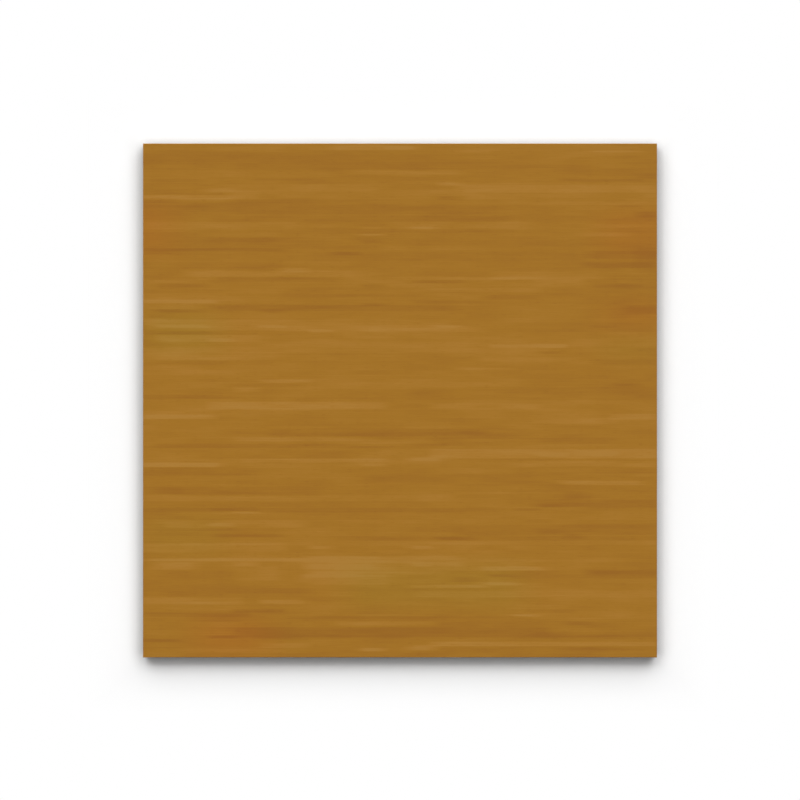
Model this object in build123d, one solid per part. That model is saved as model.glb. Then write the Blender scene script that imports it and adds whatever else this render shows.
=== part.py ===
"""Square ceramic floor tile, dry-pressed in one piece, glazed on its face and keyed on its back.

The tile lies face up. The origin is under its middle, in the plane of the rib crests that it
rests on. +X runs along the printed grain and +Z points out of the glazed face.
Lengths are in millimetres and angles in degrees.
"""

import os
from math import floor, radians, tan

from build123d import *

# Outline, set by four straight die liners, so the upright corners are sharp
TILE_LENGTH = 300.0  # along the grain, at the widest
TILE_WIDTH = 300.0  # across the grain, at the widest
TILE_THICKNESS = 8.0  # from the rib crests to the glazed face

# Edge, from the face down to the back
ARRIS_RADIUS = 0.4  # crisp eased edge that the glaze runs over
SIDE_DRAFT = 2.0  # lean of the flanks, inwards to the back
BACK_BEVEL = 1.2  # 45 degree bevel round the back

# Keyed back: a grid of shallow cells between ribs, which the adhesive fills
KEY_PITCH = 20.0  # from rib to rib
RIB_WIDTH = 4.0  # at the crest
KEY_DEPTH = 0.8  # from the rib crests to the floor of a cell
KEY_DRAFT = 30.0  # lean of the cell walls, so that the punch comes away
BORDER_WIDTH = 10.0  # least width of the plain border round the cells


def edge_section(side):
    """The section across a side: face, eased arrises, drafted flanks, bevels and back."""
    middle = Line((0, 0), (0, TILE_THICKNESS))
    face = Line(middle @ 1, (side / 2 - ARRIS_RADIUS, TILE_THICKNESS))
    arris = JernArc(face @ 1, face % 1, ARRIS_RADIUS, -(90 + SIDE_DRAFT))
    drop = (arris @ 1).Y - BACK_BEVEL
    flank = PolarLine(arris @ 1, drop, direction=arris % 1, length_mode=LengthMode.VERTICAL)
    bevel = Line(flank @ 1, flank @ 1 - (BACK_BEVEL, BACK_BEVEL))
    back = Line(bevel @ 1, middle @ 0)
    half = make_face([middle, face, arris, flank, bevel, back])
    return half + mirror(half, about=Plane.YZ)


def pressed_blank():
    """The tile before its back is keyed: what the sections of both pairs of sides share."""
    across = extrude(Plane.XZ * edge_section(TILE_LENGTH), TILE_WIDTH, both=True)
    along = extrude(Plane.YZ * edge_section(TILE_WIDTH), TILE_LENGTH, both=True)
    return across & along


def cells_along(side):
    """How many cells fit along a side of the tile, between its plain borders."""
    draft_inset = TILE_THICKNESS * tan(radians(SIDE_DRAFT))
    clear = side - 2 * (draft_inset + BACK_BEVEL + BORDER_WIDTH)
    return floor((clear + RIB_WIDTH) / KEY_PITCH)


def key_cell():
    """One cell of the back, with its mouth at the rib crests and its floor inside the tile."""
    mouth_side = KEY_PITCH - RIB_WIDTH
    return extrude(Rectangle(mouth_side, mouth_side), KEY_DEPTH, taper=KEY_DRAFT)


def floor_tile():
    """The finished tile, with its grid of cells centred on the back."""
    cell = key_cell()
    grid = GridLocations(KEY_PITCH, KEY_PITCH, cells_along(TILE_LENGTH), cells_along(TILE_WIDTH))
    return pressed_blank() - [place * cell for place in grid]


os.makedirs("parts", exist_ok=True)
export_step(floor_tile(), "parts/floor_tile.step")
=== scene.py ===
"""Dresses the pressed floor tile in its finish.

The face carries a printed wood grain under a satin glaze, with shallow fibres pressed in register
with the print. The glaze runs a little way down the flanks. The rest is bare fired clay, with kiln
wash on the ribs of the back. Lengths are in metres, and MM turns millimetres into them.
"""

import math

import bmesh
import bpy
import numpy as np
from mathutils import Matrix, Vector


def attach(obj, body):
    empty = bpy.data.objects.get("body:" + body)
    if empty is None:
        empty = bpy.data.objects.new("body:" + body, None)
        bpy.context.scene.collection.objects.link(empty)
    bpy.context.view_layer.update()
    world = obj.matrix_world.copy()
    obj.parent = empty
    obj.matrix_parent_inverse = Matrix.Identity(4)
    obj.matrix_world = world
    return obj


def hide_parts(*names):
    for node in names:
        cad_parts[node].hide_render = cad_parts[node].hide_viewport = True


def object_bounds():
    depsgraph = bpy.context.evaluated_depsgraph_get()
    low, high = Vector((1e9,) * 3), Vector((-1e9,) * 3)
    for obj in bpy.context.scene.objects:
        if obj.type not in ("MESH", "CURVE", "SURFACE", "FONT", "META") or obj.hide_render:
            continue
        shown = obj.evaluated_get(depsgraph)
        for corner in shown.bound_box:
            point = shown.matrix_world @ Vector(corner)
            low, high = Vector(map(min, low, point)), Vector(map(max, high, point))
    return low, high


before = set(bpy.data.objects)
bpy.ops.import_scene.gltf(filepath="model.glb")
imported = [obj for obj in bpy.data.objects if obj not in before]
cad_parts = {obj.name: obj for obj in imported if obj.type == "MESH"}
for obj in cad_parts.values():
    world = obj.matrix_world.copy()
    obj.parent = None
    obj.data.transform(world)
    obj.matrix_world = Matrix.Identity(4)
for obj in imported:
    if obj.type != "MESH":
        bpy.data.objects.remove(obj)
CAD_LOW, CAD_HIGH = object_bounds()

MM = 0.001
# Too small to see: places no further apart than this are the same
TINY = 0.001 * MM

# The tile, as it is packed
TILE = "floor_tile"
HALF_LENGTH = CAD_HIGH.x
HALF_WIDTH = CAD_HIGH.y
FACE_HEIGHT = CAD_HIGH.z
FACE_CORNERS = [
    vertex.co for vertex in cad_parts[TILE].data.vertices if vertex.co.z > FACE_HEIGHT - TINY
]
FACE_HALF_LENGTH = max(corner.x for corner in FACE_CORNERS)
FACE_HALF_WIDTH = max(corner.y for corner in FACE_CORNERS)
ARRIS = HALF_LENGTH - FACE_HALF_LENGTH
BACK_BEVEL = 1.2 * MM

# Colours, linear
PRINT_DARK = (0.321, 0.1355, 0.0186, 1)
PRINT_MIDDLE = (0.3735, 0.173, 0.0204, 1)
PRINT_LIGHT = (0.4055, 0.1915, 0.0296, 1)
PRINT_PALE = (0.4195, 0.2065, 0.0378, 1)
CLAY = (0.27, 0.24, 0.205, 1)
CLAY_SPECK = (0.10, 0.075, 0.055, 1)
SLIP = (0.52, 0.49, 0.43, 1)
KILN_WASH = (0.70, 0.67, 0.62, 1)
WHITE = (1, 1, 1, 1)


def add(tree, kind, inputs=None, **settings):
    """A new node with its settings made, and its inputs set, or linked where a socket is given."""
    made = tree.nodes.new(kind)
    for name, value in settings.items():
        setattr(made, name, value)
    for key, value in (inputs or {}).items():
        feed(tree, made.inputs[key], value)
    return made


def feed(tree, socket, value):
    """Links a socket to another one, or sets it to a plain value."""
    if isinstance(value, bpy.types.NodeSocket):
        tree.links.new(value, socket)
    else:
        socket.default_value = value


def calc(tree, operation, *values):
    """One Math node on these numbers or sockets."""
    made = add(tree, "ShaderNodeMath", operation=operation)
    for socket, value in zip(made.inputs, values):
        feed(tree, socket, value)
    return made.outputs[0]


def calc_vector(tree, operation, *values):
    """One Vector Math node on these vectors or sockets."""
    made = add(tree, "ShaderNodeVectorMath", operation=operation)
    for socket, value in zip(made.inputs, values):
        feed(tree, socket, value)
    return made.outputs["Vector"]


def scaled(tree, vector, factor):
    """A vector or colour times a number."""
    made = add(tree, "ShaderNodeVectorMath", {0: vector, "Scale": factor}, operation="SCALE")
    return made.outputs["Vector"]


def axes_of(tree, vector):
    """The X, Y and Z of a vector, by name."""
    return add(tree, "ShaderNodeSeparateXYZ", {"Vector": vector}).outputs


def ramp(tree, value, low, high):
    """0 at low and 1 at high, with soft ends."""
    made = add(
        tree,
        "ShaderNodeMapRange",
        {"Value": value, "From Min": low, "From Max": high},
        interpolation_type="SMOOTHSTEP",
    )
    return made.outputs["Result"]


def blend(tree, share, first, second):
    """One number or socket going over into another."""
    made = add(tree, "ShaderNodeMix", {0: share, 2: first, 3: second}, data_type="FLOAT")
    return made.outputs[0]


def mix_colour(tree, share, first, second):
    """One colour going over into another."""
    made = add(tree, "ShaderNodeMix", {0: share, 6: first, 7: second}, data_type="RGBA")
    return made.outputs[2]


def noise(tree, position, size, detail=2.0, stretch=(1, 1, 1)):
    """Noise from 0 to 1 with lumps of about this size, drawn out by the stretch."""
    drawn = calc_vector(tree, "DIVIDE", position, tuple(size * part for part in stretch))
    made = add(tree, "ShaderNodeTexNoise", {"Vector": drawn, "Scale": 1.0, "Detail": detail})
    return made.outputs["Fac"]


def flat_noise(tree, place, detail):
    """Noise from 0 to 1 over the X and Y of a place that is already in lumps."""
    made = add(
        tree,
        "ShaderNodeTexNoise",
        {"Vector": place, "Scale": 1.0, "Detail": detail},
        noise_dimensions="2D",
    )
    return made.outputs["Fac"]


# How far apart in the noise the patches of the grain lie
PATCH_STEP = (7.3, 3.1, 0)


def grain_noise(tree, position, across, along, detail, patch):
    """Noise from 0 to 1 drawn out along the grain. The patch says which part of the noise is used."""
    stretched = calc_vector(tree, "DIVIDE", position, (along, across, across))
    moved = calc_vector(tree, "ADD", stretched, tuple(patch * step for step in PATCH_STEP))
    return flat_noise(tree, moved, detail)


# How unevenly wide the strands are, and over how many strands that changes
STRAND_UNEVENNESS = 1.5
UNEVEN_SPAN = 2.5
# How far apart in the noise neighbouring strands lie, and the strands of other patches
STRAND_STEP = 7.37
STRAND_PATCH_STEP = 31.0


def strands(tree, position, width, length, patch):
    """Tone from 0 to 1 that is even across each straight strand, drifts along it and jumps to the next."""
    across = calc_vector(tree, "MULTIPLY", position, (0, 1, 0))
    uneven = grain_noise(tree, across, width * UNEVEN_SPAN, along=1.0, detail=1.0, patch=patch)
    place = axes_of(tree, position)
    even_count = calc(tree, "DIVIDE", place["Y"], width)
    count = calc(tree, "FLOOR", calc(tree, "MULTIPLY_ADD", uneven, STRAND_UNEVENNESS, even_count))
    along = calc(tree, "DIVIDE", place["X"], length)
    own = calc(tree, "MULTIPLY_ADD", count, STRAND_STEP, patch * STRAND_PATCH_STEP)
    own_place = add(tree, "ShaderNodeCombineXYZ", {"X": along, "Y": own}).outputs[0]
    return flat_noise(tree, own_place, detail=1.0)


# The pressed fibres
FIBRE_ACROSS = 2.6 * MM
FIBRE_ALONG = 60.0 * MM
FIBRE_PATCH = 5


def fibres(tree, position):
    """Height of the pressed fibres, from 0 to 1. The face and its print use the same rule."""
    return grain_noise(tree, position, FIBRE_ACROSS, FIBRE_ALONG, detail=1.0, patch=FIBRE_PATCH)


def new_group(name, kind, sockets_in, sockets_out):
    """An empty node group with these sockets, and its input and output nodes."""
    tree = bpy.data.node_groups.new(name, kind)
    for socket, sort in sockets_in.items():
        tree.interface.new_socket(name=socket, in_out="INPUT", socket_type=sort)
    for socket, sort in sockets_out.items():
        tree.interface.new_socket(name=socket, in_out="OUTPUT", socket_type=sort)
    return tree, add(tree, "NodeGroupInput").outputs, add(tree, "NodeGroupOutput").inputs


# Streaks that stand out of the grain, in millimetres from the middle of the face:
# x, y, half length, half width and strength
LIGHT_STREAKS = (
    (-15, 147.5, 24, 1.4, 0.9),
    (-1, 147.3, 7, 0.9, 1.2),
    (-90, 146.5, 22, 1.7, 0.5),
    (126, 145.3, 15, 0.6, 0.9),
    (43, 145.3, 8, 0.6, 0.7),
    (2, 133, 32, 1.3, 0.5),
    (29, 126.5, 7, 1.0, 1.0),
    (-60, 124, 45, 2.2, 0.4),
    (93, 123.5, 58, 2.2, 0.6),
    (-105, 122.5, 8, 1.2, 0.8),
    (-90, 120, 8, 2.4, 0.6),
    (-125, 118.5, 28, 1.3, 1.0),
    (-105, 102, 45, 2.2, 0.5),
    (35, 102, 40, 2.5, 0.5),
    (13, 100.7, 7, 0.7, 1.2),
    (-16, 100.7, 7, 0.6, 0.9),
    (-70, 96.5, 45, 0.9, 0.4),
    (-16, 96.7, 7, 0.6, 1.3),
    (-61, 76, 7, 1.2, 0.8),
    (-75, 74, 50, 1.9, 0.7),
    (85, 73, 32, 2.4, 0.6),
    (44, 71.2, 22, 0.7, 0.6),
    (93, 68.5, 15, 2.6, 0.4),
    (50, 64.5, 32, 1.1, 0.5),
    (-132, 57.7, 24, 1.0, 0.9),
    (-60, 44, 90, 3.2, 0.5),
    (-128, 43.3, 15, 0.8, 1.1),
    (-75, 43.2, 7, 0.8, 1.1),
    (29, 43.2, 7, 0.6, 1.0),
    (15, 41, 35, 1.1, 0.5),
    (-46, 40.7, 7, 0.8, 1.2),
    (-112, 36.3, 30, 1.9, 0.8),
    (-105, 35.3, 7, 1.0, 0.9),
    (73, 31.8, 22, 1.1, 0.9),
    (88, 31.8, 7, 0.9, 1.2),
    (-45, 31, 90, 3.0, 0.4),
    (-110, 26, 40, 2.4, 0.5),
    (68, 24, 22, 1.1, 0.6),
    (51, 18.5, 15, 0.5, 0.9),
    (-40, 17, 90, 2.6, 0.3),
    (-68, 11.3, 15, 0.9, 0.9),
    (-90, 6, 7, 1.5, 0.7),
    (-60, -3, 52, 2.2, 0.9),
    (50, -3.5, 32, 1.9, 0.5),
    (-132, -9.5, 24, 1.3, 1.0),
    (137, -9.5, 14, 1.6, 1.0),
    (103, -12, 25, 1.8, 0.5),
    (-55, -22.5, 42, 1.3, 0.6),
    (88, -31, 70, 2.8, 0.9),
    (88, -31.5, 7, 1.2, 1.0),
    (118, -31, 7, 1.5, 0.9),
    (14, -34.3, 8, 0.9, 1.3),
    (-50, -35, 42, 1.1, 0.7),
    (110, -37, 40, 1.8, 0.5),
    (-130, -37.5, 24, 1.2, 1.4),
    (-16, -37.7, 7, 0.8, 1.0),
    (118, -48, 24, 1.2, 1.0),
    (-60, -57, 90, 1.9, 0.5),
    (-90, -65.3, 7, 0.6, 1.3),
    (-95, -72, 42, 2.2, 0.6),
    (-105, -72.5, 7, 1.0, 1.0),
    (85, -83, 70, 1.3, 0.6),
    (-46, -85.7, 7, 1.0, 1.1),
    (13, -85.7, 7, 1.0, 1.0),
    (-112, -86, 45, 2.6, 0.6),
    (-32, -92, 22, 1.2, 1.1),
    (13, -92, 22, 1.4, 0.7),
    (-95, -93, 55, 0.9, 1.3),
    (22, -95.5, 15, 1.4, 0.8),
    (-90, -95.5, 7, 1.2, 1.0),
    (-132, -96.5, 12, 2.2, 0.9),
    (65, -98, 18, 1.3, 0.8),
    (-24, -94.2, 33, 0.8, 0.7),
    (-36, -96.9, 20, 1.7, 0.8),
    (-30, -98, 25, 4.6, 0.5),
    (-22, -100.3, 30, 0.5, 0.6),
    (-85, -101, 14, 4.0, 0.6),
    (-40, -102.2, 16, 1.2, 0.8),
    (-33, -104.3, 26, 2.2, 0.5),
    (-28, -106.9, 22, 0.6, 0.6),
    (60, -107, 9, 0.9, 1.4),
    (28, -108.5, 22, 0.9, 1.1),
    (85, -113, 75, 1.9, 0.6),
    (-122, -117, 30, 2.0, 0.8),
    (-68, -117.5, 14, 1.2, 1.0),
    (0, -125.4, 22, 0.6, 0.6),
    (73, -125.5, 7, 0.6, 1.1),
    (-9, -130, 30, 1.2, 0.7),
    (85, -142, 66, 1.3, 1.0),
    (-68, -143, 14, 1.4, 0.8),
    (13, -144.3, 7, 1.6, 1.1),
    (-16, -145.3, 7, 1.0, 1.4),
    (-100, -146, 50, 1.2, 0.4),
)
DARK_STREAKS = (
    (-40, 139, 120, 4.5, 0.4),
    (103, 137, 8, 5.0, 0.5),
    (-90, 137, 8, 1.3, 0.7),
    (145, 131, 6, 1.5, 0.9),
    (-63, 128.8, 20, 0.6, 0.6),
    (-130, 128.5, 16, 0.9, 0.8),
    (118, 128.5, 24, 0.8, 0.9),
    (29, 118, 7, 1.2, 1.0),
    (-131, 113.5, 20, 0.9, 0.6),
    (133, 113.5, 7, 0.8, 0.9),
    (-20, 113, 80, 4.2, 0.5),
    (145, 108.5, 6, 1.8, 1.3),
    (20, 106, 130, 1.8, 0.4),
    (143, 94, 8, 5.0, 0.4),
    (-90, 93.5, 22, 1.2, 0.6),
    (-16, 92.7, 7, 0.8, 0.9),
    (-110, 88, 42, 0.9, 1.0),
    (-31, 85.7, 8, 1.0, 1.2),
    (130, 85, 22, 2.3, 0.9),
    (25, 84, 80, 2.6, 0.4),
    (145, 82, 7, 7.0, 0.7),
    (-115, 79, 45, 1.9, 0.5),
    (128, 79, 20, 1.5, 0.8),
    (-72, 70.5, 36, 1.2, 0.6),
    (21, 69.2, 15, 0.9, 1.0),
    (-128, 67, 15, 1.0, 0.9),
    (-16, 67, 7, 1.0, 0.9),
    (126, 67, 15, 1.0, 0.8),
    (-30, 63, 38, 2.8, 0.5),
    (66, 60.3, 15, 1.3, 1.0),
    (28, 57.5, 20, 0.9, 0.9),
    (-16, 56, 7, 0.9, 1.2),
    (-40, 54, 75, 1.7, 0.8),
    (143, 53, 12, 2.8, 0.8),
    (-128, 52.3, 15, 0.8, 1.0),
    (-75, 52.3, 7, 0.8, 0.9),
    (137, 47, 14, 7.0, 0.6),
    (118, 43, 7, 0.8, 1.1),
    (105, 42, 40, 2.2, 0.4),
    (-128, 39.5, 20, 0.9, 0.6),
    (88, 28, 7, 0.7, 1.0),
    (132, 22.5, 20, 1.5, 0.7),
    (-120, 22, 45, 1.3, 0.5),
    (133, 9, 7, 0.8, 1.1),
    (-80, 9, 22, 0.9, 0.8),
    (85, 4, 80, 3.8, 0.5),
    (-125, 2, 30, 1.3, 0.7),
    (0, -18.5, 75, 2.2, 0.6),
    (43, -18.7, 7, 0.9, 0.9),
    (103, -23.5, 22, 1.8, 1.0),
    (50, -24, 30, 2.4, 0.5),
    (-60, -26.5, 85, 1.3, 0.8),
    (-118, -41.5, 34, 2.2, 0.8),
    (30, -45.5, 50, 2.2, 0.5),
    (-68, -48, 30, 1.5, 0.6),
    (-136, -52.5, 8, 2.0, 0.9),
    (-90, -53, 42, 2.8, 0.6),
    (103, -55.5, 7, 2.2, 1.0),
    (118, -60, 40, 2.2, 0.8),
    (88, -61.5, 7, 1.0, 0.9),
    (-105, -63.5, 7, 0.8, 0.8),
    (74, -63.7, 7, 0.8, 1.3),
    (-50, -64, 110, 1.2, 0.7),
    (90, -75.5, 60, 3.0, 0.6),
    (88, -76.5, 7, 1.5, 0.8),
    (-88, -79, 20, 0.9, 1.3),
    (103, -79.5, 7, 1.6, 0.9),
    (29, -80.5, 7, 0.9, 1.3),
    (15, -81, 30, 1.0, 0.7),
    (118, -100.3, 7, 0.9, 1.0),
    (-112, -101, 28, 4.0, 0.4),
    (132, -100.5, 24, 2.0, 0.6),
    (58, -102.2, 7, 0.8, 1.1),
    (40, -104.5, 10, 1.4, 0.8),
    (-78, -111, 26, 1.5, 0.8),
    (-83, -122.7, 15, 1.0, 1.1),
    (88, -123, 14, 1.0, 1.0),
    (-118, -125, 30, 1.3, 0.9),
    (5, -126.5, 70, 0.7, 0.7),
    (103, -130, 7, 1.2, 1.1),
    (-5, -135, 92, 2.7, 1.1),
    (115, -136.5, 36, 1.5, 0.9),
    (-104, -138, 8, 0.9, 1.5),
    (10, -138, 120, 0.8, 0.6),
    (-140, -140, 12, 0.9, 1.4),
    (118, -145.3, 22, 0.7, 0.7),
)
# How strongly the light and dark streaks count, and how soft their ends and sides are
LIGHT_TONE = 0.95
DARK_TONE = -0.70
STREAK_END = 7.0
STREAK_SIDE = 0.35
# Broad soft bands of the grain under the streaks, in the same form, with minus for darker
BANDS = (
    (147, 136, 6, 10, -0.35),
    (142, 112, 10, 6, -0.25),
    (80, 99, 30, 1.5, 0.25),
    (147, 95, 6, 12, -0.3),
    (124, 84, 30, 7, -0.35),
    (-65, 76, 30, 3, -0.35),
    (-105, 67, 14, 2, -0.3),
    (-92, 66, 58, 6, -0.5),
    (-125, 50, 26, 3, -0.3),
    (-12, 48, 20, 1.8, 0.3),
    (-30, 44.5, 50, 2, -0.3),
    (-80, 35, 60, 2, 0.3),
    (-30, 29, 100, 2.5, 0.3),
    (92, 26, 42, 5.5, 0.4),
    (-110, 17, 42, 3, -0.3),
    (112, 8, 40, 5, -0.3),
    (145, -4, 8, 3, 0.35),
    (72, -8, 34, 3, 0.3),
    (-60, -9, 80, 5, 0.2),
    (-105, -24, 38, 3, 0.3),
    (-45, -26, 62, 3.5, 0.4),
    (2, -33, 24, 4, 0.45),
    (62, -42, 40, 6, 0.4),
    (80, -57, 28, 3.5, -0.25),
    (115, -60, 38, 5, -0.25),
    (-50, -66, 60, 1.5, 0.25),
    (-135, -73, 22, 3, 0.35),
    (28, -74, 28, 3, -0.35),
    (-50, -78.5, 100, 2.5, -0.45),
    (-118, -82.5, 34, 1.8, -0.4),
    (-95, -96, 40, 4, 0.35),
    (10, -98, 62, 5, 0.35),
    (-135, -102, 16, 4, 0.35),
    (8, -102, 14, 2, 0.35),
    (125, -107, 26, 4, -0.25),
    (-105, -131, 26, 1.5, -0.3),
    (125, -138, 26, 3.5, 0.35),
    (-118, -140, 26, 3, -0.25),
    (0, -141, 60, 4, 0.25),
)
# How soft the ends and sides of the bands are
BAND_END = 30.0
BAND_SIDE = 3.0
# Soft blushes in the print, in the same form, with 1 for redder and -1 for greener
BLUSHES = (
    (-147, 100, 14, 14, 1.0),
    (138, 98, 22, 13, 0.9),
    (140, 50, 20, 7, 0.8),
    (-98, -138, 22, 11, 1.1),
    (-128, 40, 22, 12, -1.0),
    (-128, -78, 24, 12, -0.6),
    (138, 29, 20, 5, -0.6),
    (20, -108, 52, 13, -0.9),
)
# How soft the blushes are, and by what share a full one raises the red, green and blue of the print
BLUSH_END = 24.0
BLUSH_SIDE = 14.0
BLUSH_TINT = (0.046, -0.050, -0.025)


def lay_streaks(x, y, streaks, end_softness, side_softness):
    """The sum of all these streaks, even inside and soft at their edges, at places in millimetres."""
    total = np.zeros(len(x))
    for middle_x, middle_y, half_length, half_width, strength in streaks:
        along = np.clip((half_length - abs(x - middle_x)) / end_softness + 0.5, 0, 1)
        across = np.clip((half_width - abs(y - middle_y)) / side_softness + 0.5, 0, 1)
        total += strength * along * across
    return total


def keep_streaks(mesh):
    """Keeps the streaks and blushes on the corners of the gridded face, for the print to read."""
    x, y, z = vertex_places(mesh).T
    on_face = z > FACE_HEIGHT - TINY
    light = lay_streaks(x / MM, y / MM, LIGHT_STREAKS, STREAK_END, STREAK_SIDE)
    dark = lay_streaks(x / MM, y / MM, DARK_STREAKS, STREAK_END, STREAK_SIDE)
    bands = lay_streaks(x / MM, y / MM, BANDS, BAND_END, BAND_SIDE)
    streaks = LIGHT_TONE * light + DARK_TONE * dark + bands
    blushes = lay_streaks(x / MM, y / MM, BLUSHES, BLUSH_END, BLUSH_SIDE)
    for name, values in (("streaks", streaks), ("blushes", blushes)):
        mesh.attributes.new(name, "FLOAT", "POINT").data.foreach_set("value", values * on_face)


def vertex_places(mesh):
    """The x, y and z of each vertex of a mesh."""
    places = np.empty(len(mesh.vertices) * 3)
    mesh.vertices.foreach_get("co", places)
    return places.reshape(-1, 3)


# Layers of straight strands under the streaks: width, length in millimetres, tone and patch
STRAND_LAYERS = (
    (11.0, 300.0, 1.2, 1),
    (5.0, 160.0, 1.1, 2),
    (2.5, 30.0, 1.1, 3),
)
# The fine hair of the grain, in the same form
HAIR_LAYERS = (
    (0.9, 40.0, 0.5, 4),
    (0.4, 14.0, 0.6, 6),
)
# The dark pores between the hairs, and how much noise starts and fills one
PORE_WIDTH = 0.35 * MM
PORE_LENGTH = 5.0 * MM
PORE_PATCH = 8
PORE_START = 0.70
PORE_FULL = 0.78
PORE_TONE = -0.45
FIBRE_TONE = 0.3
# The tone that gives the palest print, and minus it the darkest, and where the other colours lie
TONE_SPAN = 1.2
MIDDLE_AT = 0.5
LIGHT_AT = 0.8


def wood_print_group():
    """The printed grain: its colour, and the fibres that are pressed with it."""
    tree, given, out = new_group(
        "Wood print",
        "ShaderNodeTree",
        {"Position": "NodeSocketVector"},
        {"Colour": "NodeSocketColor", "Fibres": "NodeSocketFloat"},
    )
    position = given["Position"]
    tone = add(tree, "ShaderNodeAttribute", attribute_name="streaks").outputs["Fac"]
    for width, length, weight, patch in STRAND_LAYERS:
        layer = strands(tree, position, width * MM, length * MM, patch)
        tone = add_layer(tree, tone, layer, weight)
    for width, length, weight, patch in HAIR_LAYERS:
        layer = grain_noise(tree, position, width * MM, length * MM, detail=1.0, patch=patch)
        tone = add_layer(tree, tone, layer, weight)
    gaps = grain_noise(tree, position, PORE_WIDTH, PORE_LENGTH, detail=0.0, patch=PORE_PATCH)
    tone = calc(tree, "MULTIPLY_ADD", ramp(tree, gaps, PORE_START, PORE_FULL), PORE_TONE, tone)
    fibre = fibres(tree, position)
    tone = add_layer(tree, tone, fibre, FIBRE_TONE)
    plain = print_colour(tree, tone)
    blushes = add(tree, "ShaderNodeAttribute", attribute_name="blushes").outputs["Fac"]
    tint = scaled(tree, BLUSH_TINT, blushes)
    feed(tree, out["Colour"], calc_vector(tree, "MULTIPLY_ADD", tint, plain, plain))
    feed(tree, out["Fibres"], fibre)
    return tree


def add_layer(tree, tone, layer, weight):
    """A tone raised and lowered by a layer of noise from 0 to 1."""
    about_zero = calc(tree, "SUBTRACT", layer, 0.5)
    return calc(tree, "MULTIPLY_ADD", about_zero, weight, tone)


def print_colour(tree, tone):
    """The colour of the print for a tone, from dark to pale."""
    share = add(
        tree, "ShaderNodeMapRange", {"Value": tone, "From Min": -TONE_SPAN, "From Max": TONE_SPAN}
    )
    colours = add(tree, "ShaderNodeValToRGB", {"Fac": share.outputs["Result"]})
    stops = colours.color_ramp.elements
    stops[0].color = PRINT_DARK
    stops[1].color = PRINT_PALE
    stops.new(MIDDLE_AT).color = PRINT_MIDDLE
    stops.new(LIGHT_AT).color = PRINT_LIGHT
    return colours.outputs["Color"]


# The glaze: how rough it is at the least, what the fibres and its clouds add, and its orange peel
GLAZE_ROUGHNESS = 0.26
FIBRE_ROUGHNESS = 0.04
CLOUD_ROUGHNESS = 0.06
CLOUD_SIZE = 45 * MM
PEEL_SIZE = 4 * MM
FINE_PEEL_SIZE = 0.7 * MM
FINE_PEEL_SHARE = 0.15
PEEL_DEPTH = 0.012 * MM


def glaze_skin_group():
    """The fired surface of the glaze: how rough it is, and the height of its slight orange peel."""
    tree, given, out = new_group(
        "Glaze skin",
        "ShaderNodeTree",
        {"Position": "NodeSocketVector", "Fibres": "NodeSocketFloat"},
        {"Roughness": "NodeSocketFloat", "Height": "NodeSocketFloat"},
    )
    position = given["Position"]
    cloud = noise(tree, position, CLOUD_SIZE)
    rough = calc(tree, "MULTIPLY_ADD", given["Fibres"], FIBRE_ROUGHNESS, GLAZE_ROUGHNESS)
    rough = calc(tree, "MULTIPLY_ADD", cloud, CLOUD_ROUGHNESS, rough)
    peel = noise(tree, position, PEEL_SIZE, detail=1.0)
    fine = noise(tree, position, FINE_PEEL_SIZE)
    feed(tree, out["Roughness"], rough)
    feed(tree, out["Height"], calc(tree, "MULTIPLY_ADD", fine, FINE_PEEL_SHARE, peel))
    return tree


# The fired clay: how dark it is at the least, what its mottle and grit add, and its iron specks
CLAY_SHADE = 0.70
MOTTLE_SHADE = 0.35
GRIT_SHADE = 0.25
MOTTLE_SIZE = 18 * MM
GRIT_SIZE = 0.6 * MM
SPECK_SIZE = 1.3 * MM
SPECK_START = 0.70
SPECK_FULL = 0.76
CLAY_ROUGHNESS = 0.88


def fired_clay_group():
    """Bare fired clay: its colour with iron specks, and the height of its fine grain."""
    tree, given, out = new_group(
        "Fired clay",
        "ShaderNodeTree",
        {"Position": "NodeSocketVector"},
        {"Colour": "NodeSocketColor", "Height": "NodeSocketFloat"},
    )
    position = given["Position"]
    mottle = noise(tree, position, MOTTLE_SIZE, detail=3.0)
    grit = noise(tree, position, GRIT_SIZE, detail=3.0)
    specks = ramp(tree, noise(tree, position, SPECK_SIZE, detail=1.0), SPECK_START, SPECK_FULL)
    shade = calc(tree, "MULTIPLY_ADD", mottle, MOTTLE_SHADE, CLAY_SHADE)
    shade = calc(tree, "MULTIPLY_ADD", grit, GRIT_SHADE, shade)
    body = scaled(tree, CLAY[:3], shade)
    feed(tree, out["Colour"], mix_colour(tree, specks, body, CLAY_SPECK))
    feed(tree, out["Height"], grit)
    return tree


def new_material(name):
    """A material with its shader, and the place on the tile that its patterns read."""
    made = bpy.data.materials.new(name)
    made.use_nodes = True
    tree = made.node_tree
    shader = tree.nodes["Principled BSDF"]
    position = add(tree, "ShaderNodeTexCoord").outputs["Object"]
    return made, tree, shader, position


def raise_surface(tree, shader, height, depth):
    """Gives a shader the small relief of a height from 0 to 1."""
    bump = add(tree, "ShaderNodeBump", {"Height": height, "Strength": 1.0, "Distance": depth})
    feed(tree, shader.inputs["Normal"], bump.outputs["Normal"])


def glaze(tree, position, wood_print, glaze_skin):
    """What the glaze over the print puts out: the print's colour, and the skin's roughness and height."""
    grain = add(tree, "ShaderNodeGroup", {"Position": position}, node_tree=wood_print).outputs
    given = {"Position": position, "Fibres": grain["Fibres"]}
    skin = add(tree, "ShaderNodeGroup", given, node_tree=glaze_skin).outputs
    return grain["Colour"], skin["Roughness"], skin["Height"]


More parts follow.
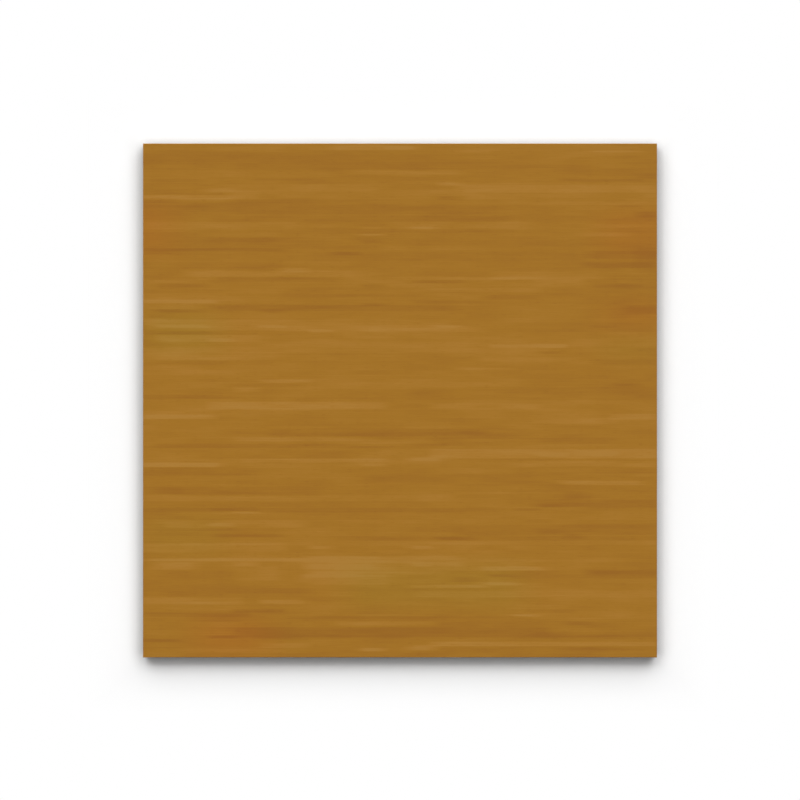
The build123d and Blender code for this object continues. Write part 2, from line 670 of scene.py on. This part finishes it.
def glazed_face(wood_print, glaze_skin):
    """Satin glaze over the printed grain."""
    made, tree, shader, position = new_material("glazed_face")
    colour, roughness, height = glaze(tree, position, wood_print, glaze_skin)
    feed(tree, shader.inputs["Base Color"], colour)
    feed(tree, shader.inputs["Roughness"], roughness)
    raise_surface(tree, shader, height, PEEL_DEPTH)
    return made


# The glaze that runs over the arris: how far down its edge lies, and how the edge wanders
GLAZE_OVERRUN = 1.7 * MM
OVERRUN_WANDER = 1.6 * MM
SLOW_WANDER_SIZE = 14 * MM
QUICK_WANDER_SIZE = 2.5 * MM
QUICK_WANDER_SHARE = 0.35
GLAZE_EDGE_SOFTNESS = 0.05 * MM
# The pale slip that shows under the edge of the glaze
SLIP_WIDTH = 0.35 * MM
SLIP_SOFTNESS = 0.1 * MM
# The upright marks that the die dragged down the clay of the flanks
DRAG_SIZE = 0.5 * MM
DRAG_STRETCH = (1, 1, 16)
DRAG_SHADE = 0.24
DRAG_HEIGHT = 0.5
# The relief of the flanks, and how high the glaze stands in it
FLANK_DEPTH = 0.08 * MM
GLAZE_HEIGHT = 1.2


def glazed_flank(wood_print, glaze_skin, fired_clay):
    """The flanks: glaze that ran over the arris and stopped unevenly, a line of slip, and clay."""
    made, tree, shader, position = new_material("glazed_flank")
    colour, roughness, _ = glaze(tree, position, wood_print, glaze_skin)
    clay = add(tree, "ShaderNodeGroup", {"Position": position}, node_tree=fired_clay).outputs
    above = above_glaze_edge(tree, position)
    glazed = ramp(tree, above, -GLAZE_EDGE_SOFTNESS, GLAZE_EDGE_SOFTNESS)
    slip = ramp(tree, above, -SLIP_WIDTH - SLIP_SOFTNESS, -SLIP_WIDTH + SLIP_SOFTNESS)
    drag = noise(tree, position, DRAG_SIZE, stretch=DRAG_STRETCH)
    drag_shade = calc(tree, "MULTIPLY_ADD", drag, DRAG_SHADE, 1 - DRAG_SHADE / 2)
    bare = mix_colour(tree, slip, scaled(tree, clay["Colour"], drag_shade), SLIP)
    feed(tree, shader.inputs["Base Color"], mix_colour(tree, glazed, bare, colour))
    feed(tree, shader.inputs["Roughness"], blend(tree, glazed, CLAY_ROUGHNESS, roughness))
    bare_height = calc(tree, "MULTIPLY_ADD", drag, DRAG_HEIGHT, clay["Height"])
    raise_surface(tree, shader, blend(tree, glazed, bare_height, GLAZE_HEIGHT), FLANK_DEPTH)
    return made


def above_glaze_edge(tree, position):
    """How far a place on the flank lies above the wandering lower edge of the glaze."""
    level = calc_vector(tree, "MULTIPLY", position, (1, 1, 0))
    slow = noise(tree, level, SLOW_WANDER_SIZE)
    quick = noise(tree, level, QUICK_WANDER_SIZE)
    wander = calc(tree, "MULTIPLY_ADD", quick, QUICK_WANDER_SHARE, slow)
    about_zero = calc(tree, "SUBTRACT", wander, (1 + QUICK_WANDER_SHARE) / 2)
    edge = calc(tree, "MULTIPLY_ADD", about_zero, OVERRUN_WANDER, FACE_HEIGHT - GLAZE_OVERRUN)
    return calc(tree, "SUBTRACT", axes_of(tree, position)["Z"], edge)


# The kiln wash: up to where it lies on the ribs, and its patches and their wear
WASH_FADES_FROM = 0.02 * MM
WASH_FADES_BY = 0.25 * MM
WASH_PATCH_SIZE = 26 * MM
WASH_PATCH_RANGE = (0.40, 0.62)
WASH_WEAR_SIZE = 1.6 * MM
WASH_WEAR_RANGE = (0.30, 0.55)
WASH_COVER = 0.85
WASH_ROUGHNESS = 0.96
BACK_DEPTH = 0.1 * MM


def keyed_back(fired_clay):
    """The back: fired clay, with patches of kiln wash left on the crests of its ribs."""
    made, tree, shader, position = new_material("keyed_back")
    clay = add(tree, "ShaderNodeGroup", {"Position": position}, node_tree=fired_clay).outputs
    rise = ramp(tree, axes_of(tree, position)["Z"], WASH_FADES_FROM, WASH_FADES_BY)
    crest = calc(tree, "SUBTRACT", 1.0, rise)
    patches = ramp(tree, noise(tree, position, WASH_PATCH_SIZE, detail=3.0), *WASH_PATCH_RANGE)
    worn = ramp(tree, noise(tree, position, WASH_WEAR_SIZE, detail=3.0), *WASH_WEAR_RANGE)
    wash = calc(tree, "MULTIPLY", calc(tree, "MULTIPLY", crest, patches), worn)
    cover = calc(tree, "MULTIPLY", wash, WASH_COVER)
    feed(tree, shader.inputs["Base Color"], mix_colour(tree, cover, clay["Colour"], KILN_WASH))
    feed(tree, shader.inputs["Roughness"], blend(tree, wash, CLAY_ROUGHNESS, WASH_ROUGHNESS))
    raise_surface(tree, shader, clay["Height"], BACK_DEPTH)
    return made


# The grid that the face is cut into, so that it can carry the streaks and the pressed fibres
ROW = 0.5 * MM
COLUMN = 5.0 * MM
RIM = 0.5 * MM
SHARP_ANGLE = math.radians(30)


def gridded_copy(node):
    """A merged copy of the pressed tile, with its face cut into a grid and its arrises smooth."""
    tile = bmesh.new()
    tile.from_mesh(node.data)
    bmesh.ops.remove_doubles(tile, verts=tile.verts, dist=TINY)
    bmesh.ops.dissolve_faces(tile, faces=face_pieces(tile))
    inside = FACE_HALF_LENGTH - RIM
    for side in (-1, 1):
        cut_face(tile, Vector((side * inside, 0, 0)))
    middle = max(face_pieces(tile), key=lambda face: face.calc_area())
    divide(tile, [middle], 1, round(inside * 2 / COLUMN))
    divide(tile, face_pieces(tile), 0, round(FACE_HALF_WIDTH * 2 / ROW))
    for face in tile.faces:
        face.smooth = True
    for edge in tile.edges:
        edge.smooth = edge.calc_face_angle(0) < SHARP_ANGLE
    mesh = bpy.data.meshes.new(TILE)
    tile.to_mesh(mesh)
    tile.free()
    keep_streaks(mesh)
    return mesh


def face_pieces(tile):
    """The pieces that the flat face is cut into so far."""
    return [face for face in tile.faces if all(v.co.z > FACE_HEIGHT - TINY for v in face.verts)]


def cut_face(tile, place):
    """Cuts the face alone across its length at a place."""
    pieces = face_pieces(tile)
    edges = {edge for face in pieces for edge in face.edges}
    bmesh.ops.bisect_plane(
        tile, geom=pieces + list(edges), dist=TINY, plane_co=place, plane_no=(1, 0, 0)
    )


def divide(tile, pieces, across, parts):
    """Cuts these pieces of the face into equal parts: across 0 leaves rows and 1 leaves columns."""
    edges = {edge for face in pieces for edge in face.edges}
    divided = [
        edge for edge in edges if abs(edge.verts[0].co[across] - edge.verts[1].co[across]) < TINY
    ]
    bmesh.ops.subdivide_edges(tile, edges=divided, cuts=parts - 1, use_grid_fill=True)


# How deep the fibres are pressed, and over how wide a margin they fade out to the arris
RELIEF_DEPTH = 0.03 * MM
RELIEF_MARGIN = 4.0 * MM


def relief_tree(face_finish, flank_finish, back_finish):
    """Presses the fibres into the face, and gives each part of the tile its finish."""
    tree, given, out = new_group(
        "Pressed fibres",
        "GeometryNodeTree",
        {
            "Geometry": "NodeSocketGeometry",
            "Depth": "NodeSocketFloat",
            "Margin": "NodeSocketFloat",
            "Face Height": "NodeSocketFloat",
            "Half Length": "NodeSocketFloat",
            "Half Width": "NodeSocketFloat",
            "Flank Top": "NodeSocketFloat",
            "Flank Foot": "NodeSocketFloat",
        },
        {"Geometry": "NodeSocketGeometry"},
    )
    position = add(tree, "GeometryNodeInputPosition").outputs[0]
    axes = axes_of(tree, position)
    from_end = calc(tree, "SUBTRACT", given["Half Length"], calc(tree, "ABSOLUTE", axes["X"]))
    from_side = calc(tree, "SUBTRACT", given["Half Width"], calc(tree, "ABSOLUTE", axes["Y"]))
    inside = calc(tree, "DIVIDE", calc(tree, "MINIMUM", from_end, from_side), given["Margin"])
    fade = ramp(tree, inside, 0.0, 1.0)
    drop = calc(tree, "SUBTRACT", fibres(tree, position), 1.0)
    deep = calc(tree, "MULTIPLY", calc(tree, "MULTIPLY", drop, fade), given["Depth"])
    offset = add(tree, "ShaderNodeCombineXYZ", {"Z": deep}).outputs[0]
    on_face = calc(tree, "GREATER_THAN", axes["Z"], calc(tree, "SUBTRACT", given["Face Height"], TINY))
    pressed = add(
        tree,
        "GeometryNodeSetPosition",
        {"Geometry": given["Geometry"], "Selection": on_face, "Offset": offset},
    )
    shape = add(tree, "GeometryNodeRealizeInstances", {"Geometry": pressed.outputs[0]}).outputs[0]
    finishes = (
        (back_finish, True),
        (flank_finish, calc(tree, "GREATER_THAN", axes["Z"], given["Flank Foot"])),
        (face_finish, calc(tree, "GREATER_THAN", axes["Z"], given["Flank Top"])),
    )
    for finish, where in finishes:
        shape = add(
            tree,
            "GeometryNodeSetMaterial",
            {"Geometry": shape, "Selection": where, "Material": finish},
        ).outputs[0]
    feed(tree, out["Geometry"], shape)
    return tree


def set_inputs(modifier, values):
    """Sets a tree's named inputs on its modifier."""
    for socket in modifier.node_group.interface.items_tree:
        if socket.in_out == "INPUT" and socket.name in values:
            modifier[socket.identifier] = values[socket.name]


def finished_tile():
    """The tile with its pressed face, as one plain mesh."""
    wood_print = wood_print_group()
    glaze_skin = glaze_skin_group()
    fired_clay = fired_clay_group()
    tile = bpy.data.objects.new("pressed_tile", gridded_copy(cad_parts[TILE]))
    bpy.context.scene.collection.objects.link(tile)
    modifier = tile.modifiers.new("Pressed fibres", "NODES")
    modifier.node_group = relief_tree(
        glazed_face(wood_print, glaze_skin),
        glazed_flank(wood_print, glaze_skin, fired_clay),
        keyed_back(fired_clay),
    )
    set_inputs(
        modifier,
        {
            "Depth": RELIEF_DEPTH,
            "Margin": RELIEF_MARGIN,
            "Face Height": FACE_HEIGHT,
            "Half Length": FACE_HALF_LENGTH,
            "Half Width": FACE_HALF_WIDTH,
            "Flank Top": FACE_HEIGHT - ARRIS,
            "Flank Foot": BACK_BEVEL,
        },
    )
    evaluated = tile.evaluated_get(bpy.context.evaluated_depsgraph_get())
    mesh = bpy.data.meshes.new_from_object(evaluated)
    tile.modifiers.clear()
    tile.data = mesh
    lay_out_map(mesh)
    return tile


# The map that the finish is baked through, with its sizes as shares of its side
MAP_NAME = "OFBake"
FACE_SHARE = 0.70
BACK_SHARE = 0.28
FLANK_SHARE = 0.06
MAP_GAP = 0.006


def lay_out_map(mesh):
    """Lays the face out large, the back small beside it and the four flanks in strips above it."""
    corners = np.empty(len(mesh.loops), int)
    mesh.loops.foreach_get("vertex_index", corners)
    x, y, z = vertex_places(mesh)[corners].T
    finish = by_corner(mesh, "material_index")
    normal_x, normal_y, _ = by_corner(mesh, "normal").T
    face_x = arris_rolled_out(x, z, FACE_HALF_LENGTH)
    face_y = arris_rolled_out(y, z, FACE_HALF_WIDTH)
    along_x = (x / HALF_LENGTH + 1) / 2
    along_y = (y / HALF_WIDTH + 1) / 2
    at_end = abs(normal_x) > abs(normal_y)
    strip = np.where(at_end, normal_x > 0, 2 + (normal_y > 0))
    past_face = FACE_SHARE + 2 * MAP_GAP
    layouts = {
        "glazed_face": (MAP_GAP + FACE_SHARE * face_x, MAP_GAP + FACE_SHARE * face_y),
        "keyed_back": (past_face + BACK_SHARE * (1 - along_x), MAP_GAP + BACK_SHARE * along_y),
        "glazed_flank": (
            MAP_GAP + FACE_SHARE * np.where(at_end, along_y, along_x),
            past_face + strip * (FLANK_SHARE + MAP_GAP) + FLANK_SHARE * z / FACE_HEIGHT,
        ),
    }
    places = np.zeros((len(x), 2))
    for index, material in enumerate(mesh.materials):
        own = finish == index
        places[own] = np.stack(layouts[material.name], axis=1)[own]
    mesh.uv_layers.new(name=MAP_NAME).uv.foreach_set("vector", places.ravel())


def arris_rolled_out(place, z, half_flat):
    """Shares from 0 to 1 across the face, with the arris on both sides rolled out flat."""
    on_arris = abs(place) > half_flat + TINY
    rolled = place + np.sign(place) * (FACE_HEIGHT - z) * on_arris
    return (rolled / (half_flat + 2 * ARRIS) + 1) / 2


def by_corner(mesh, name):
    """A value of each face of a mesh, repeated for each of its corners."""
    width = 3 if name == "normal" else 1
    values = np.empty(len(mesh.polygons) * width)
    mesh.polygons.foreach_get(name, values)
    counts = np.empty(len(mesh.polygons), int)
    mesh.polygons.foreach_get("loop_total", counts)
    return np.repeat(values.reshape(-1, width).squeeze(), counts, axis=0)


# The floor: how far it reaches, where it goes over into plain white, and its painted shade beside the tile
FLOOR_HALF = 4.0
WHITE_FROM = 13 * MM
WHITE_BY = 34 * MM
CONTACT_REACH = 6 * MM
CONTACT_SHADE = 0.62
CONTACT_SAMPLES = 8


def white_floor():
    """A wide white floor that keeps the tile's shadow, with painted shade beside the tile, and is plain
    white beyond it.
    """
    mesh = bpy.data.meshes.new("floor")
    mesh.from_pydata(
        [(x * FLOOR_HALF, y * FLOOR_HALF, CAD_LOW.z) for x, y in ((-1, -1), (1, -1), (1, 1), (-1, 1))],
        [],
        [(0, 1, 2, 3)],
    )
    mesh.materials.append(white_paint())
    floor = bpy.data.objects.new("floor", mesh)
    bpy.context.scene.collection.objects.link(floor)


def white_paint():
    """The floor's paint, with painted shade darkening it close to the tile, and plain white to the eye
    further off.
    """
    made = bpy.data.materials.new("white_floor")
    made.use_nodes = True
    tree = made.node_tree
    tree.nodes.clear()
    axes = axes_of(tree, add(tree, "ShaderNodeTexCoord").outputs["Object"])
    past_end = calc(tree, "SUBTRACT", calc(tree, "ABSOLUTE", axes["X"]), HALF_LENGTH)
    past_side = calc(tree, "SUBTRACT", calc(tree, "ABSOLUTE", axes["Y"]), HALF_WIDTH)
    beyond = ramp(tree, calc(tree, "MAXIMUM", past_end, past_side), WHITE_FROM, WHITE_BY)
    plain = calc(tree, "MULTIPLY", beyond, backdrop_ray(tree))
    reach = add(
        tree, "ShaderNodeAmbientOcclusion", {"Distance": CONTACT_REACH}, samples=CONTACT_SAMPLES
    )
    # Painted shade: the floor's paint is darkened where the tile hides it, on top of the real shadow
    painted_contact_shade = calc(tree, "POWER", reach.outputs["AO"], CONTACT_SHADE)
    paint = add(tree, "ShaderNodeBsdfDiffuse", {"Color": painted_contact_shade})
    white = add(tree, "ShaderNodeEmission", {"Color": WHITE, "Strength": 1.0})
    shown = add(
        tree, "ShaderNodeMixShader", {0: plain, 1: paint.outputs[0], 2: white.outputs[0]}
    )
    add(tree, "ShaderNodeOutputMaterial", {"Surface": shown.outputs[0]})
    return made


def backdrop_ray(tree):
    """1 for rays that show the background: those of the camera, of gloss and of glass."""
    path = add(tree, "ShaderNodeLightPath").outputs
    shown = calc(tree, "MAXIMUM", path["Is Camera Ray"], path["Is Glossy Ray"])
    return calc(tree, "MAXIMUM", shown, path["Is Transmission Ray"])


# The room: the light it gives, how bright its ceiling is in gloss, and how high the ceiling starts
AMBIENT = 0.02
CEILING = 0.06
HORIZON_UP = 0.15
CEILING_UP = 0.75


def white_world():
    """White all round where the background shows, with a dim ceiling in gloss, and little light."""
    world = bpy.data.worlds.new("studio")
    bpy.context.scene.world = world
    world.use_nodes = True
    tree = world.node_tree
    tree.nodes.clear()
    path = add(tree, "ShaderNodeLightPath").outputs
    up = axes_of(tree, add(tree, "ShaderNodeTexCoord").outputs["Generated"])["Z"]
    in_gloss = blend(tree, ramp(tree, up, HORIZON_UP, CEILING_UP), 1.0, CEILING)
    gloss = calc(tree, "MAXIMUM", path["Is Glossy Ray"], path["Is Transmission Ray"])
    level = blend(tree, gloss, AMBIENT, in_gloss)
    level = calc(tree, "MAXIMUM", level, path["Is Camera Ray"])
    light = add(tree, "ShaderNodeBackground", {"Color": WHITE, "Strength": level})
    add(tree, "ShaderNodeOutputWorld", {"Surface": light.outputs[0]})


# The lamps stand so far off that their light is even over the tile
LAMP_DISTANCE = 30.0
# Their name, azimuth and elevation in degrees, half width and half height for each metre that they
# stand away, and the level that a small lamp there would give to a level white surface
LAMPS = (
    ("key", 90, 33.5, 1.05, 0.48, 0.91),
    ("left", 155, 47, 1.00, 0.20, 0.37),
    ("right", 25, 47, 1.00, 0.20, 0.37),
)


def softbox(name, azimuth, elevation, half_width, half_height, level):
    """A soft lamp that faces the tile and doesn't show in its glaze."""
    up = math.sin(math.radians(elevation))
    out = math.cos(math.radians(elevation))
    turn = math.radians(azimuth)
    towards = Vector((math.cos(turn) * out, math.sin(turn) * out, up))
    lamp = bpy.data.lights.new(name, "AREA")
    lamp.shape = "RECTANGLE"
    lamp.size = 2 * half_width * LAMP_DISTANCE
    lamp.size_y = 2 * half_height * LAMP_DISTANCE
    lamp.energy = level * math.pi ** 2 * LAMP_DISTANCE ** 2 / up
    holder = bpy.data.objects.new(name, lamp)
    bpy.context.scene.collection.objects.link(holder)
    holder.location = towards * LAMP_DISTANCE
    holder.rotation_mode = "QUATERNION"
    holder.rotation_quaternion = (-towards).to_track_quat("-Z", "Y")
    holder.visible_camera = False
    holder.visible_glossy = False


# The photograph, which looks straight down: its side, and the tile's width and middle, in pixels
PHOTO_PX = 800.0
PHOTO_TILE_PX = 514.0
PHOTO_CENTRE_PX = (400.0, 400.5)
# The lens and its sensor, in millimetres
LENS = 100.0
SENSOR = 36.0


def photo_camera():
    """Looks straight down, with the tile where the photograph has it."""
    lens = bpy.data.cameras.new("camera")
    lens.lens = LENS
    lens.sensor_width = SENSOR
    camera = bpy.data.objects.new("camera", lens)
    bpy.context.scene.collection.objects.link(camera)
    per_px = HALF_LENGTH * 2 / PHOTO_TILE_PX
    widest = FACE_HEIGHT - ARRIS
    left = (PHOTO_PX / 2 - PHOTO_CENTRE_PX[0]) * per_px
    down = (PHOTO_CENTRE_PX[1] - PHOTO_PX / 2) * per_px
    camera.location = (left, down, widest + per_px * PHOTO_PX * LENS / SENSOR)
    bpy.context.scene.camera = camera


tile = finished_tile()
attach(tile, "root")
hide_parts(TILE)

white_floor()
white_world()
for lamp in LAMPS:
    softbox(*lamp)
photo_camera()
bpy.context.scene.view_settings.view_transform = "Standard"
